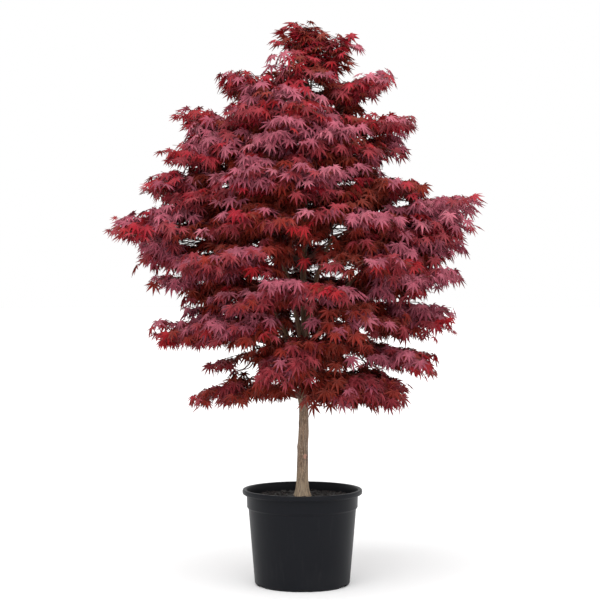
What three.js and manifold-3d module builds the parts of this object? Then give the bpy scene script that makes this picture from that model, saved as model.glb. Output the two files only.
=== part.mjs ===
// A red-leaved japanese maple, grown as a small single-stemmed tree in a black nursery pot.
// Millimetres, +Z up. The origin is the middle of the pot's flat underside, and the tree is seen
// from the front by looking along +Y. Bearings are in degrees round the pot's axis, seen from
// above: 0 is to the right, 90 to the back, 180 to the left and 270 to the front.
import * as THREE from "three";
import { mergeVertices } from "three/addons/utils/BufferGeometryUtils.js";
import Module from "manifold-3d";

const wasm = await Module();
wasm.setup();

// The air left between two neighbouring solids
const GAP = 0.3;

// Pot: a seven gallon nursery container with a rolled lip, a collar and drain slots at its foot
const POT = {
  height: 282,
  lipRadius: 178,
  lipHeight: 16,
  lipRound: 4,
  collarRadius: 165,
  collarHeight: 40,
  stepIn: 3.5,
  bodyTopRadius: 160,
  footRadius: 141,
  footBevel: 5,
  wall: 3,
  floor: 4,
  segments: 30,
};
const SLOT = { count: 6, width: 38, depth: 22, height: 7 };
const SOIL = { level: 260, dip: 5, flatRadius: 44 };

// Trunk: its height runs from the soil to the leader's tip among the top leaves
const TRUNK = {
  foot: SOIL.level + GAP,
  top: 1500,
  butt: 17.3,
  taper: 0.022,
  flare: 7.2,
  flareHeight: 28,
  ridges: 5,
  ridgeShare: 0.16,
  forkHeight: 296,
  forkSwell: 4.5,
  forkSpread: 20,
  leaderFoot: 9.8,
  leaderTip: 2.4,
  forkFade: 45,
  lean: 24,
  sway: 4,
  swayTurns: [9, 7],
  sides: 9,
  steps: 26,
  crowding: 1.4,
};

// Boughs taper evenly from where they leave the trunk to their tip, which lies at a share of its
// pads' reach. They rise steeply to an elbow and then lean outwards.
const BOUGH = { tip: 5, sides: 6, steps: 4, tipReach: 0.36, elbowReach: 0.36, elbowRise: 0.72 };

// A pad of foliage fills a flat cell: half its thickness, where its inner end lies as a share of
// its reach, the least half width and how far from round its corners are
const PAD = { thick: 60, innerShare: 0.12, innerLeast: 10, widthLeast: 90, blockiness: 4 };

// A pad's stem runs in its upper half, at a share of its thickness, and ends short of the pad's tip
// by a share of its leaf. From a bough it starts a little inside the bough's tip, above or below
// its middle; from the trunk it rises outwards.
const STEM = {
  foot: 3.4,
  tip: 1.5,
  sides: 3,
  steps: 3,
  level: 0.62,
  short: 0.68,
  elbow: 0.5,
  inBough: 2,
  aside: 4,
  rise: 0.2,
  lowest: 546,
  belowTop: 8,
};
// Side twigs leave the stem in opposite pairs, three on a long pad and two on a short one
const TWIG = {
  foot: 1.3,
  tip: 1.2,
  sides: 3,
  first: 0.4,
  last: 0.86,
  longPad: 330,
  spread: 54,
  spreadJitter: 12,
  roomUsed: [0.8, 1],
  leafRoom: 0.4,
  least: 0.3,
  tested: [0.4, 0.6, 0.8, 1],
};
const SIDE_LEAF = { count: 1, turn: 65, size: 0.9 };

// The sizes that a twig or leaf tries in turn, as shares of its full size
const TRIES = [1, 1, 0.9, 0.9, 0.8, 0.8, 0.7, 0.6];

// A leaf's length runs from its root to the tip of its middle lobe, and follows its pad's size
const LEAF = {
  length: 148,
  least: 76,
  padShare: 0.68,
  ridge: 0.04,
  sunk: 0.1,
  droop: 0.28,
  notch: 0.38,
  palm: 0.17,
  pitch: 46,
  pitchJitter: 14,
  roll: 0.45,
};
const LOBES = [
  { turn: -100, length: 0.54 },
  { turn: -49, length: 0.78 },
  { turn: 0, length: 0.83 },
  { turn: 49, length: 0.78 },
  { turn: 100, length: 0.54 },
];

// How far a leaf keeps from a limb, and from the edge of its cell as a share of the cell
const CLEAR = { limb: 3, cell: 0.03, skin: 1.12 };

// The pads of foliage, tier by tier from the lowest. A tier has the slope at which its pads rise
// outwards and the height of the middle of their outer ends, and a pad has its bearing and how far
// its outer tip reaches from the pot's axis.
const TIERS = [
  {
    slope: -10,
    height: 556,
    pads: {
      left: { bearing: 178, reach: 352 },
      front_left: { bearing: 238, reach: 240 },
      front_right: { bearing: 312, reach: 300 },
      right: { bearing: 3, reach: 322 },
      back: { bearing: 90, reach: 330 },
    },
  },
  {
    slope: -8,
    height: 662,
    pads: {
      left: { bearing: 186, reach: 380 },
      front: { bearing: 268, reach: 350 },
      right: { bearing: 352, reach: 420 },
      back: { bearing: 84, reach: 400 },
    },
  },
  {
    slope: -4,
    height: 768,
    pads: {
      left: { bearing: 176, reach: 458 },
      front_left: { bearing: 226, reach: 420 },
      front_right: { bearing: 305, reach: 430 },
      right: { bearing: 6, reach: 470 },
      back: { bearing: 98, reach: 440 },
    },
  },
  {
    slope: 0,
    height: 876,
    pads: {
      left: { bearing: 184, reach: 455 },
      front: { bearing: 262, reach: 440 },
      right: { bearing: 352, reach: 490 },
      back: { bearing: 80, reach: 460 },
    },
  },
  {
    slope: 2,
    height: 984,
    pads: {
      left: { bearing: 176, reach: 576 },
      front_left: { bearing: 232, reach: 480 },
      front_right: { bearing: 306, reach: 480 },
      right: { bearing: 4, reach: 495 },
      back: { bearing: 100, reach: 500 },
    },
  },
  {
    slope: 4,
    height: 1092,
    pads: {
      left: { bearing: 184, reach: 604 },
      front_left: { bearing: 244, reach: 460 },
      front_right: { bearing: 296, reach: 460 },
      right: { bearing: 356, reach: 572 },
      back: { bearing: 84, reach: 500 },
    },
  },
  {
    slope: 6,
    height: 1200,
    pads: {
      left: { bearing: 172, reach: 490 },
      front: { bearing: 262, reach: 420 },
      right: { bearing: 344, reach: 420 },
      back: { bearing: 70, reach: 440 },
    },
  },
  {
    slope: 8,
    height: 1308,
    pads: {
      left: { bearing: 190, reach: 432 },
      front: { bearing: 280, reach: 370 },
      right: { bearing: 8, reach: 326 },
      back: { bearing: 100, reach: 380 },
    },
  },
  {
    slope: 10,
    height: 1416,
    pads: {
      left: { bearing: 170, reach: 376 },
      front: { bearing: 254, reach: 320 },
      right: { bearing: 352, reach: 348 },
      back: { bearing: 76, reach: 320 },
    },
  },
  {
    slope: 14,
    height: 1526,
    pads: {
      left: { bearing: 186, reach: 262 },
      front: { bearing: 262, reach: 215 },
      right: { bearing: 4, reach: 284 },
      back: { bearing: 88, reach: 225 },
    },
  },
  {
    slope: 60,
    height: 1672,
    pads: {
      left: { bearing: 176, reach: 100 },
      right: { bearing: 352, reach: 150 },
    },
  },
];

// Each bough leaves the trunk at a height, has a radius there, and carries two pads, which are
// named by tier and place
const BOUGHS = {
  left_low: { leaves: 566, foot: 7, pads: ["2_left", "3_left"] },
  right_low: { leaves: 572, foot: 7, pads: ["2_right", "3_right"] },
  front_low: { leaves: 584, foot: 7, pads: ["2_front", "3_front_left"] },
  back_low: { leaves: 588, foot: 7, pads: ["2_back", "3_back"] },
  left_high: { leaves: 602, foot: 9, pads: ["4_left", "5_left"] },
  right_high: { leaves: 610, foot: 9, pads: ["4_right", "5_right"] },
  front_right_low: { leaves: 626, foot: 7, pads: ["3_front_right", "4_front"] },
  back_high: { leaves: 636, foot: 7, pads: ["4_back", "5_back"] },
  front_left_high: { leaves: 664, foot: 7, pads: ["5_front_left", "6_front_left"] },
  front_right_high: { leaves: 694, foot: 7, pads: ["5_front_right", "6_front_right"] },
};

// Colours from the plant: the lit bark, the dark plastic, damp bark mulch and the leaf reds
const MATERIALS = {
  pot: new THREE.MeshStandardMaterial({ color: 0x24262a, roughness: 0.5, metalness: 0 }),
  soil: new THREE.MeshStandardMaterial({ color: 0x2b1f18, roughness: 0.95, metalness: 0 }),
  bark: new THREE.MeshStandardMaterial({ color: 0x8a7660, roughness: 0.85, metalness: 0 }),
  leaf: new THREE.MeshStandardMaterial({ color: 0x7c2038, roughness: 0.55, metalness: 0 }),
};

const up = new THREE.Vector3(0, 0, 1);
const radians = THREE.MathUtils.degToRad;
const mix = THREE.MathUtils.lerp;
const root = new THREE.Group();

// A run of numbers from 0 to 1 that is the same every time for the same seed
function randomFrom(seed) {
  let state = (seed * 2654435761) >>> 0;
  return () => {
    state = (Math.imul(state, 1664525) + 1013904223) >>> 0;
    return state / 4294967296;
  };
}

function solidOf(geometry) {
  geometry.deleteAttribute("normal");
  geometry.deleteAttribute("uv");
  const merged = mergeVertices(geometry, 1e-3);
  return new wasm.Manifold(
    new wasm.Mesh({
      numProp: 3,
      vertProperties: new Float32Array(merged.attributes.position.array),
      triVerts: new Uint32Array(merged.index.array),
    }),
  );
}

function addNode(name, solid, material) {
  const made = solid.getMesh();
  const geometry = new THREE.BufferGeometry();
  geometry.setAttribute("position", new THREE.BufferAttribute(made.vertProperties, 3));
  geometry.setIndex(new THREE.BufferAttribute(made.triVerts, 1));
  geometry.computeVertexNormals();
  const mesh = new THREE.Mesh(geometry, material);
  mesh.name = name;
  root.add(mesh);
}

// A tapering limb: a cylinder bent along a curve. radiusAt takes the share of the curve's length
// and the angle round it. grow makes it wider all round and longer at its tip, for cutting.
function limb(curve, radiusAt, sides, steps, grow = 0) {
  const geometry = new THREE.CylinderGeometry(1, 1, 1, sides, steps);
  const frames = curve.computeFrenetFrames(steps);
  const place = geometry.getAttribute("position");
  const v = new THREE.Vector3();
  for (let i = 0; i < place.count; i++) {
    v.fromBufferAttribute(place, i);
    const ring = Math.round((v.y + 0.5) * steps);
    const radius = radiusAt(ring / steps, Math.atan2(v.x, v.z)) + grow;
    const at = curve.getPointAt(ring / steps);
    at.addScaledVector(frames.binormals[ring], v.x * radius);
    at.addScaledVector(frames.normals[ring], v.z * radius);
    if (ring === steps) at.addScaledVector(frames.tangents[ring], grow);
    place.setXYZ(i, at.x, at.y, at.z);
  }
  return solidOf(geometry);
}

// Pot, turned from one profile that runs from the middle of the underside, up the outside, over
// the lip and down the inside
function buildPot() {
  const p = POT;
  const lipFoot = p.height - p.lipHeight;
  const collarFoot = lipFoot - p.collarHeight;
  const profile = [
    [0, 0],
    [p.footRadius - p.footBevel, 0],
    [p.footRadius, p.footBevel],
    [p.bodyTopRadius, collarFoot - p.stepIn],
    [p.collarRadius, collarFoot + p.stepIn],
    [p.collarRadius, lipFoot],
    [p.lipRadius, lipFoot + p.lipRound / 2],
    [p.lipRadius, p.height - p.lipRound],
    [p.lipRadius - p.lipRound, p.height],
    [p.collarRadius, p.height],
    [p.collarRadius - p.wall, lipFoot],
    [p.collarRadius - p.wall, collarFoot + p.stepIn],
    [p.bodyTopRadius - p.wall, collarFoot - p.stepIn],
    [p.footRadius - p.wall, p.floor],
    [0, p.floor],
  ].map(([r, z]) => new THREE.Vector2(r, z));
  const turned = new THREE.LatheGeometry(profile, p.segments).rotateX(Math.PI / 2);
  let pot = solidOf(turned);
  for (let i = 0; i < SLOT.count; i++) {
    const slot = new THREE.BoxGeometry(SLOT.depth, SLOT.width, SLOT.height * 2);
    slot.translate(p.footRadius, 0, 0);
    slot.rotateZ(radians(270 + (360 / SLOT.count) * i));
    pot = pot.subtract(solidOf(slot));
  }
  addNode("pot", pot, MATERIALS.pot);
}

// Soil: fills the pot, GAP clear of it, flat under the trunk and a little lower at the wall
function buildSoil() {
  const p = POT;
  const wallTop = p.height - p.lipHeight - p.collarHeight;
  const clear = p.wall + 2 * GAP;
  const profile = [
    [0, p.floor + GAP],
    [p.footRadius - clear, p.floor + GAP],
    [p.bodyTopRadius - clear, wallTop - p.stepIn],
    [p.collarRadius - clear, wallTop + p.stepIn],
    [p.collarRadius - clear, SOIL.level - SOIL.dip],
    [SOIL.flatRadius, SOIL.level],
    [0, SOIL.level],
  ].map(([r, z]) => new THREE.Vector2(r, z));
  const turned = new THREE.LatheGeometry(profile, p.segments).rotateX(Math.PI / 2);
  addNode("soil", solidOf(turned), MATERIALS.soil);
}

// The trunk's centre line: nearly upright, with a slight sway and a lean to the right at its top.
// Its steps are crowded towards the foot, where its shape changes most.
class TrunkLine extends THREE.Curve {
  getPoint(share, at = new THREE.Vector3()) {
    const [swayX, swayY] = TRUNK.swayTurns.map((turns) => TRUNK.sway * share * Math.sin(turns * share));
    return at.set(TRUNK.lean * share * share + swayX, swayY, mix(TRUNK.foot, TRUNK.top, share));
  }

  getPointAt(step, at) {
    return this.getPoint(step ** TRUNK.crowding, at);
  }
}
const trunkLine = new TrunkLine();
const pointOnTrunk = (z) => trunkLine.getPoint((z - TRUNK.foot) / (TRUNK.top - TRUNK.foot));

// The trunk's radius at a height above the soil, before its root ridges
function trunkRadius(height) {
  const t = TRUNK;
  const butt = t.butt - t.taper * height + t.flare * Math.exp(-height / t.flareHeight);
  const swell = t.forkSwell * Math.exp(-(((height - t.forkHeight) / t.forkSpread) ** 2));
  const above = Math.max(0, height - t.forkHeight) / (t.top - t.foot - t.forkHeight);
  const leader = mix(t.leaderFoot, t.leaderTip, above);
  const passed = THREE.MathUtils.smoothstep(height, t.forkHeight, t.forkHeight + t.forkFade);
  return mix(butt + swell, leader, passed);
}

function trunkSolid(grow) {
  const t = TRUNK;
  const radiusAt = (step, angle) => {
    const height = step ** t.crowding * (t.top - t.foot);
    const ridge = t.ridgeShare * Math.exp(-height / t.flareHeight) * Math.cos(t.ridges * angle);
    return trunkRadius(height) * (1 + ridge);
  };
  return limb(trunkLine, radiusAt, t.sides, t.steps, grow);
}

// Pads: where each lies, its three axes, its half sizes and its leaves' length
function layOutPads() {
  return TIERS.flatMap(({ slope, height, pads: places }, level) => {
    const rise = radians(slope);
    const apart = Math.PI / Math.max(Object.keys(places).length, 4);
    return Object.entries(places).map(([place, { bearing, reach }], order) => {
      const turn = radians(bearing);
      const outward = new THREE.Vector3(Math.cos(turn), Math.sin(turn), 0);
      const across = new THREE.Vector3(-outward.y, outward.x, 0);
      const along = outward.clone().applyAxisAngle(across, -rise);
      const inner = PAD.innerLeast + PAD.innerShare * reach;
      const long = (reach - inner) / 2 / Math.cos(rise);
      const room = ((reach + inner) / 2) * Math.tan(apart);
      const outer = outward.clone().multiplyScalar(reach).setZ(height);
      return {
        name: `${level + 1}_${place}`,
        seed: level * 10 + order + 1,
        slope,
        along,
        across,
        normal: new THREE.Vector3().crossVectors(along, across),
        long,
        wide: Math.max(room, PAD.widthLeast),
        thick: PAD.thick,
        outer,
        centre: outer.clone().addScaledVector(along, -long),
        reach,
        leaf: THREE.MathUtils.clamp(long * LEAF.padShare, LEAF.least, LEAF.length),
      };
    });
  });
}
const pads = layOutPads();

// How far out a point lies in a pad's cell, a block with round corners: 0 at its centre and 1 on
// its skin
function shareOut(pad, point) {
  const from = point.clone().sub(pad.centre);
  const shares = [
    from.dot(pad.along) / pad.long,
    from.dot(pad.across) / pad.wide,
    from.dot(pad.normal) / pad.thick,
  ];
  return shares.reduce((sum, share) => sum + share ** PAD.blockiness, 0) ** (1 / PAD.blockiness);
}

// A point belongs to the pad in whose cell it lies deepest
function belongs(pad, point) {
  const share = shareOut(pad, point);
  if (share > CLEAR.skin) return false;
  return pads.every((other) => other === pad || shareOut(other, point) > share + CLEAR.cell);
}

// Boughs, and the stem that leads on from a bough's tip or from the trunk into each pad
function layOutBoughs() {
  return Object.entries(BOUGHS).map(([place, { leaves, foot, pads: names }]) => {
    const carried = names.map((name) => pads.find((pad) => pad.name === name));
    const tip = new THREE.Vector3();
    for (const { outer, along, reach } of carried) {
      tip.add(outer).addScaledVector(along, -reach * (1 - BOUGH.tipReach));
    }
    tip.divideScalar(carried.length);
    const from = pointOnTrunk(leaves);
    const elbow = from.clone().lerp(tip, BOUGH.elbowReach);
    elbow.z = mix(from.z, tip.z, BOUGH.elbowRise);
    const line = new THREE.QuadraticBezierCurve3(from, elbow, tip);
    const bough = { name: `bough_${place}`, line, radiusAt: (share) => mix(foot, BOUGH.tip, share) };
    carried.sort((a, b) => a.centre.z - b.centre.z);
    carried.forEach((pad, order) => {
      pad.bough = bough;
      pad.foot = tip.clone().addScaledVector(line.getTangent(1), -STEM.inBough);
      pad.foot.z += order === 0 ? -STEM.aside : STEM.aside;
    });
    return bough;
  });
}
const boughs = layOutBoughs();

function layOutStems() {
  for (const pad of pads) {
    const { along, normal, centre, outer, long, thick } = pad;
    if (!pad.bough) {
      const level = centre.z - STEM.rise * pad.reach;
      pad.foot = pointOnTrunk(THREE.MathUtils.clamp(level, STEM.lowest, TRUNK.top - STEM.belowTop));
    }
    const lift = thick * STEM.level;
    const elbow = centre.clone().addScaledVector(along, -long * STEM.elbow);
    const end = outer.clone().addScaledVector(along, -pad.leaf * STEM.short);
    elbow.addScaledVector(normal, lift);
    end.addScaledVector(normal, lift);
    pad.line = new THREE.QuadraticBezierCurve3(pad.foot, elbow, end);
    pad.radiusAt = (share) => mix(STEM.foot, STEM.tip, share ** 2);
  }
}
layOutStems();

// A point on the axis of a stem as it is built, in straight steps
function pointOnStem({ line }, share) {
  const step = Math.min(Math.floor(share * STEM.steps), STEM.steps - 1);
  const [from, to] = [step, step + 1].map((end) => line.getPointAt(end / STEM.steps));
  return from.lerp(to, share * STEM.steps - step);
}

// Every limb as a row of beads, so that a twig or leaf can be kept clear of all of them
function beads(owner, line, radiusAt) {
  const count = Math.ceil(line.getLength() / 5);
  return Array.from({ length: count + 1 }, (_, i) => ({
    owner,
    at: line.getPoint(i / count),
    radius: radiusAt(i / count),
  }));
}
const limbBeads = [
  ...beads("trunk", trunkLine, (share) => trunkRadius(share * (TRUNK.top - TRUNK.foot))),
  ...boughs.flatMap((bough) => beads(bough.name, bough.line, bough.radiusAt)),
  ...pads.flatMap((pad) => beads(pad.name, pad.line, pad.radiusAt)),
];

// Whether a row of points stays in a pad's cell, clear of every limb but the pad's own stem
function hasRoom(pad, points) {
  if (!points.every((point) => belongs(pad, point))) return false;
  const hub = points[0];
  const far = Math.max(...points.map((point) => point.distanceTo(hub))) + TRUNK.butt + CLEAR.limb;
  const near = limbBeads.filter(({ owner, at }) => owner !== pad.name && at.distanceTo(hub) < far);
  const clearOf = (point) => near.every(({ at, radius }) => at.distanceTo(point) > radius + CLEAR.limb);
  return points.every(clearOf);
}

// A leaf is a flat cone whose rim is pulled out into five pointed lobes that droop to their tips.
// It lies in its own frame, with its root at the origin and its middle lobe along X.
function leafGeometry(length) {
  const spot = (turn, radius) => {
    const x = LEAF.palm + Math.cos(radians(turn)) * radius;
    return new THREE.Vector3(x, Math.sin(radians(turn)) * radius, -LEAF.droop * radius * radius);
  };
  const rim = [new THREE.Vector3()];
  LOBES.forEach((lobe, i) => {
    if (i > 0) rim.push(spot((LOBES[i - 1].turn + lobe.turn) / 2, LEAF.notch));
    rim.push(spot(lobe.turn, lobe.length));
  });
  const geometry = new THREE.ConeGeometry(1, LEAF.ridge, rim.length, 1);
  const place = geometry.getAttribute("position");
  const v = new THREE.Vector3();
  for (let i = 0; i < place.count; i++) {
    v.fromBufferAttribute(place, i);
    const onRim = Math.hypot(v.x, v.z) > 0.5;
    const turns = Math.atan2(v.x, v.z) / (2 * Math.PI) + 1;
    if (onRim) v.copy(rim[Math.round(turns * rim.length) % rim.length]);
    else v.set(LEAF.palm, 0, v.y);
    place.setXYZ(i, v.x * length, v.y * length, v.z * length);
  }
  return geometry;
}

// The points that test a leaf's room: along its edges and along its spokes
function leafSamples(geometry) {
  const place = geometry.getAttribute("position");
  const corner = (_, i) => new THREE.Vector3().fromBufferAttribute(place, i);
  const corners = Array.from({ length: place.count }, corner);
  const index = geometry.index.array;
  const points = [corners[0]];
  for (let i = 0; i < index.length; i += 3) {
    for (let side = 0; side < 3; side++) {
      const from = corners[index[i + side]];
      const to = corners[index[i + ((side + 1) % 3)]];
      for (const share of [0.25, 0.5, 0.75, 1]) points.push(from.clone().lerp(to, share));
    }
  }
  return points;
}

// A leaf set at a point, heading outwards and hanging down, or null where it has no room
function placeLeaf(pad, at, heading, length, jitter) {
  const pitch = radians(LEAF.pitch - pad.slope + jitter(LEAF.pitchJitter));
  const level = heading.clone().setZ(0).normalize();
  const forward = level.multiplyScalar(Math.cos(pitch)).setZ(-Math.sin(pitch));
  const side = new THREE.Vector3().crossVectors(up, forward).normalize();
  side.applyAxisAngle(forward, jitter(LEAF.roll));
  const facing = new THREE.Vector3().crossVectors(forward, side);
  const root = at.clone().addScaledVector(forward, -LEAF.sunk * length);
  const geometry = leafGeometry(length);
  geometry.applyMatrix4(new THREE.Matrix4().makeBasis(forward, side, facing).setPosition(root));
  return hasRoom(pad, leafSamples(geometry)) ? solidOf(geometry) : null;
}

// One pad: its stem with a leaf at the end, then twigs in pairs from the outermost inwards, each
// with a leaf at its own end, then leaves along the twigs. A leaf meets the wood only at its root
// and meets no other leaf, and a twig without room for itself and its leaf isn't grown.
function growPad(pad) {
  const random = randomFrom(pad.seed);
  const jitter = (size) => (random() * 2 - 1) * size;
  let wood = limb(pad.line, pad.radiusAt, STEM.sides, STEM.steps);
  let leaves = wasm.Manifold.union([]);
  const grown = [];

  const growLeaf = (at, heading, size) => {
    for (const shrink of TRIES) {
      const leaf = placeLeaf(pad, at, heading, pad.leaf * size * shrink, jitter);
      if (!leaf || !leaf.intersect(leaves).isEmpty()) continue;
      if (leaf.intersect(wood).decompose().length !== 1) continue;
      leaves = leaves.add(leaf);
      return;
    }
  };

  const growTwig = (at, heading, length) => {
    for (const shrink of TRIES) {
      const line = new THREE.LineCurve3(at, at.clone().addScaledVector(heading, length * shrink));
      if (!hasRoom(pad, TWIG.tested.map((share) => line.getPoint(share)))) continue;
      const leaf = placeLeaf(pad, line.v2, heading, pad.leaf * shrink, jitter);
      if (!leaf || !leaf.intersect(leaves).isEmpty() || !leaf.intersect(wood).isEmpty()) continue;
      const twig = limb(line, (share) => mix(TWIG.foot, TWIG.tip, share), TWIG.sides, 1);
      if (!twig.intersect(leaves).isEmpty()) continue;
      wood = wood.add(twig);
      leaves = leaves.add(leaf);
      grown.push({ line, heading });
      return;
    }
  };

  growLeaf(pad.line.getPoint(1), pad.line.getTangent(1), 1);
  const pairs = pad.long * 2 > TWIG.longPad ? 3 : 2;
  for (let i = 0; i < pairs; i++) {
    const share = mix(TWIG.last, TWIG.first, i / (pairs - 1));
    const at = pointOnStem(pad, share);
    const ahead = pad.line.getTangentAt(share).projectOnPlane(pad.normal).normalize();
    const alongShare = at.clone().sub(pad.centre).dot(pad.along) / pad.long;
    const room = pad.wide * Math.sqrt(Math.max(0, 1 - alongShare ** 2));
    for (const hand of [-1, 1]) {
      const spread = radians(TWIG.spread + jitter(TWIG.spreadJitter)) * hand;
      const heading = ahead.clone().applyAxisAngle(pad.normal, spread);
      const length = room * mix(...TWIG.roomUsed, random()) - pad.leaf * TWIG.leafRoom;
      growTwig(at, heading, Math.max(length, pad.leaf * TWIG.least));
    }
  }
  for (const { line, heading } of grown.slice(0, SIDE_LEAF.count)) {
    const hand = Math.sign(heading.dot(pad.across));
    const aside = heading.clone().applyAxisAngle(pad.normal, -hand * radians(SIDE_LEAF.turn));
    growLeaf(line.getPoint(0.5), aside, SIDE_LEAF.size);
  }
  const parent = pad.bough
    ? limb(pad.bough.line, pad.bough.radiusAt, BOUGH.sides, BOUGH.steps, GAP)
    : trunkCutter;
  addNode(`foliage_${pad.name}`, largest(wood.add(leaves).subtract(parent)), MATERIALS.leaf);
}

// Boughs, each coped to the trunk and to the boughs that leave it lower down
function buildBoughs() {
  let cutter = trunkCutter;
  for (const { name, line, radiusAt } of boughs) {
    const whole = limb(line, radiusAt, BOUGH.sides, BOUGH.steps);
    addNode(name, largest(whole.subtract(cutter)), MATERIALS.bark);
    cutter = cutter.add(limb(line, radiusAt, BOUGH.sides, BOUGH.steps, GAP));
  }
}

// The largest piece that a cut leaves, without its scraps
function largest(solid) {
  return solid.decompose().reduce((best, piece) => (piece.volume() > best.volume() ? piece : best));
}

buildPot();
buildSoil();
addNode("trunk", trunkSolid(0), MATERIALS.bark);
const trunkCutter = trunkSolid(GAP);
buildBoughs();
pads.forEach(growPad);

export default root;
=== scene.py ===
# A red-leaved japanese maple, grown as a small single-stemmed tree in a black nursery pot.
# Metres, +Z up. The origin is the middle of the pot's flat underside, and the front is seen by
# looking along +Y. Bearings are in degrees round the pot's axis, seen from above: 0 is to the
# right, 90 to the back, 180 to the left and 270 to the front.
import math

import bmesh
import bpy
import numpy as np
from mathutils import Matrix, Vector, noise


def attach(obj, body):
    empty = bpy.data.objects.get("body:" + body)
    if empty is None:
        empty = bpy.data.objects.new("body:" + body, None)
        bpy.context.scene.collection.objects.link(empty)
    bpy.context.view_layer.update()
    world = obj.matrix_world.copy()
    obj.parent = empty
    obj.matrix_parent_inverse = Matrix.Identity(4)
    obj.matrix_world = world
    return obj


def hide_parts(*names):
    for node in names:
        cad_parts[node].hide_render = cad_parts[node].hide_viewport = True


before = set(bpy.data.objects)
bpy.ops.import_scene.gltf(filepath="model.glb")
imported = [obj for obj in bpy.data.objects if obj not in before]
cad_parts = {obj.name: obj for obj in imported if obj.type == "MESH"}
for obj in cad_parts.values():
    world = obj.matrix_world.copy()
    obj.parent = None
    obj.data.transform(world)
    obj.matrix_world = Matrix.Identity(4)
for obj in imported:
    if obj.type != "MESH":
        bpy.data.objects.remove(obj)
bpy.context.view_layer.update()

# The pot: a seven gallon nursery container, blow moulded in black polyethylene with a rolled lip,
# a wide collar to lift it by and six drain notches at its foot. It stands on its flat underside.
POT_SEGMENTS = 128
# The wall's outline as (radius, height): up the outside, over the lip and down the inside
POT_PROFILE = [
    (0.000, 0.000), (0.136, 0.000), (0.141, 0.005), (0.1592, 0.220),
    (0.1602, 0.2245), (0.1640, 0.2285), (0.1650, 0.266), (0.1765, 0.267),
    (0.1780, 0.274), (0.1765, 0.282), (0.1660, 0.2812), (0.1630, 0.264),
    (0.1620, 0.232), (0.1566, 0.222), (0.138, 0.004), (0.000, 0.004),
]
LIP_LEVEL = 0.2655
LIP_ROUND = 0.0032
LIP_BEND = 20
EDGE_ROUND = 0.0012
EDGE_BEND = 14
SHARP_BEND = 40
NOTCH_COUNT = 6
NOTCH_SIZE = (0.022, 0.038, 0.014)
NOTCH_RADIUS = 0.141
FRONT = math.radians(270)


class Shade:
    """One output in a material's nodes, so that sums of values are written as plain Python."""

    def __init__(self, tree, socket=None):
        self.tree = tree
        self.socket = socket

    def feed(self, socket, value):
        """Links a value to a socket, or sets the socket to a plain number or colour."""
        if isinstance(value, Shade):
            self.tree.links.new(value.socket, socket)
        elif socket.type == "RGBA":
            socket.default_value = (*value, 1.0)
        else:
            socket.default_value = value

    def node(self, kind, settings, values, output=None):
        """A node of a kind, with its settings made first and then its sockets set or linked."""
        made = self.tree.nodes.new(kind)
        for name, value in settings.items():
            setattr(made, name, value)
        for name, value in values.items():
            self.feed(next(s for s in made.inputs if name in (s.identifier, s.name)), value)
        if output is None:
            return Shade(self.tree, made.outputs[0])
        return Shade(self.tree, next(s for s in made.outputs if output in (s.identifier, s.name)))

    def maths(self, operation, first, second, clamp=False):
        made = self.node("ShaderNodeMath", {"operation": operation, "use_clamp": clamp}, {})
        for socket, value in zip(made.socket.node.inputs, (first, second)):
            self.feed(socket, value)
        return made

    def __add__(self, other):
        return self.maths("ADD", self, other)

    def __radd__(self, other):
        return self.maths("ADD", other, self)

    def __sub__(self, other):
        return self.maths("SUBTRACT", self, other)

    def __rsub__(self, other):
        return self.maths("SUBTRACT", other, self)

    def __mul__(self, other):
        return self.maths("MULTIPLY", self, other)

    def __rmul__(self, other):
        return self.maths("MULTIPLY", other, self)

    def between(self, low, high):
        """0 where the value is under low, 1 where it is over high, and even in between."""
        return self.maths("MULTIPLY", self - low, 1 / (high - low), clamp=True)

    def blend(self, share, first, second):
        values = {"Factor_Float": share, "A_Color": first, "B_Color": second}
        return self.node("ShaderNodeMix", {"data_type": "RGBA"}, values, "Result_Color")

    def noise(self, place, scale, detail=3.0, roughness=0.5):
        values = {"Vector": place, "Scale": scale, "Detail": detail, "Roughness": roughness}
        return self.node("ShaderNodeTexNoise", {}, values, "Fac")

    def stretched(self, place, stretch):
        return self.node("ShaderNodeMapping", {}, {"Vector": place, "Scale": stretch})

    def bump(self, height, distance, strength=1.0):
        values = {"Height": height, "Distance": distance, "Strength": strength}
        return self.node("ShaderNodeBump", {}, values)


def new_finish(name):
    """A new material with one Principled shader, and the Shade that adds its other nodes."""
    material = bpy.data.materials.new(name)
    material.use_nodes = True
    shade = Shade(material.node_tree)
    principled = material.node_tree.nodes["Principled BSDF"]

    def surface(**values):
        for key, value in values.items():
            shade.feed(principled.inputs[key.replace("_", " ")], value)

    return material, shade, surface


def object_place(shade):
    return shade.node("ShaderNodeTexCoord", {}, {}, "Object")


def add_piece(name, mesh, material, nodes=()):
    """Puts a finished mesh in the scene as a piece of the plant, in place of its solids."""
    piece = bpy.data.objects.new(name, mesh)
    bpy.context.scene.collection.objects.link(piece)
    mesh.materials.append(material)
    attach(piece, "root")
    if nodes:
        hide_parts(*nodes)


def mesh_from(shape, name):
    """A smooth mesh from a finished bmesh."""
    mesh = bpy.data.meshes.new(name)
    shape.to_mesh(mesh)
    shape.free()
    mesh.shade_smooth()
    return mesh


def turned(profile, segments):
    """A shape spun round the upright axis from a row of (radius, height) corners."""
    shape = bmesh.new()
    corners = [shape.verts.new((radius, 0, height)) for radius, height in profile]
    edges = [shape.edges.new(pair) for pair in zip(corners, corners[1:])]
    bmesh.ops.spin(
        shape,
        geom=corners + edges,
        axis=(0, 0, 1),
        cent=(0, 0, 0),
        steps=segments,
        angle=2 * math.pi,
        use_merge=True,
    )
    bmesh.ops.remove_doubles(shape, verts=shape.verts, dist=1e-5)
    bmesh.ops.recalc_face_normals(shape, faces=shape.faces)
    return shape


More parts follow.
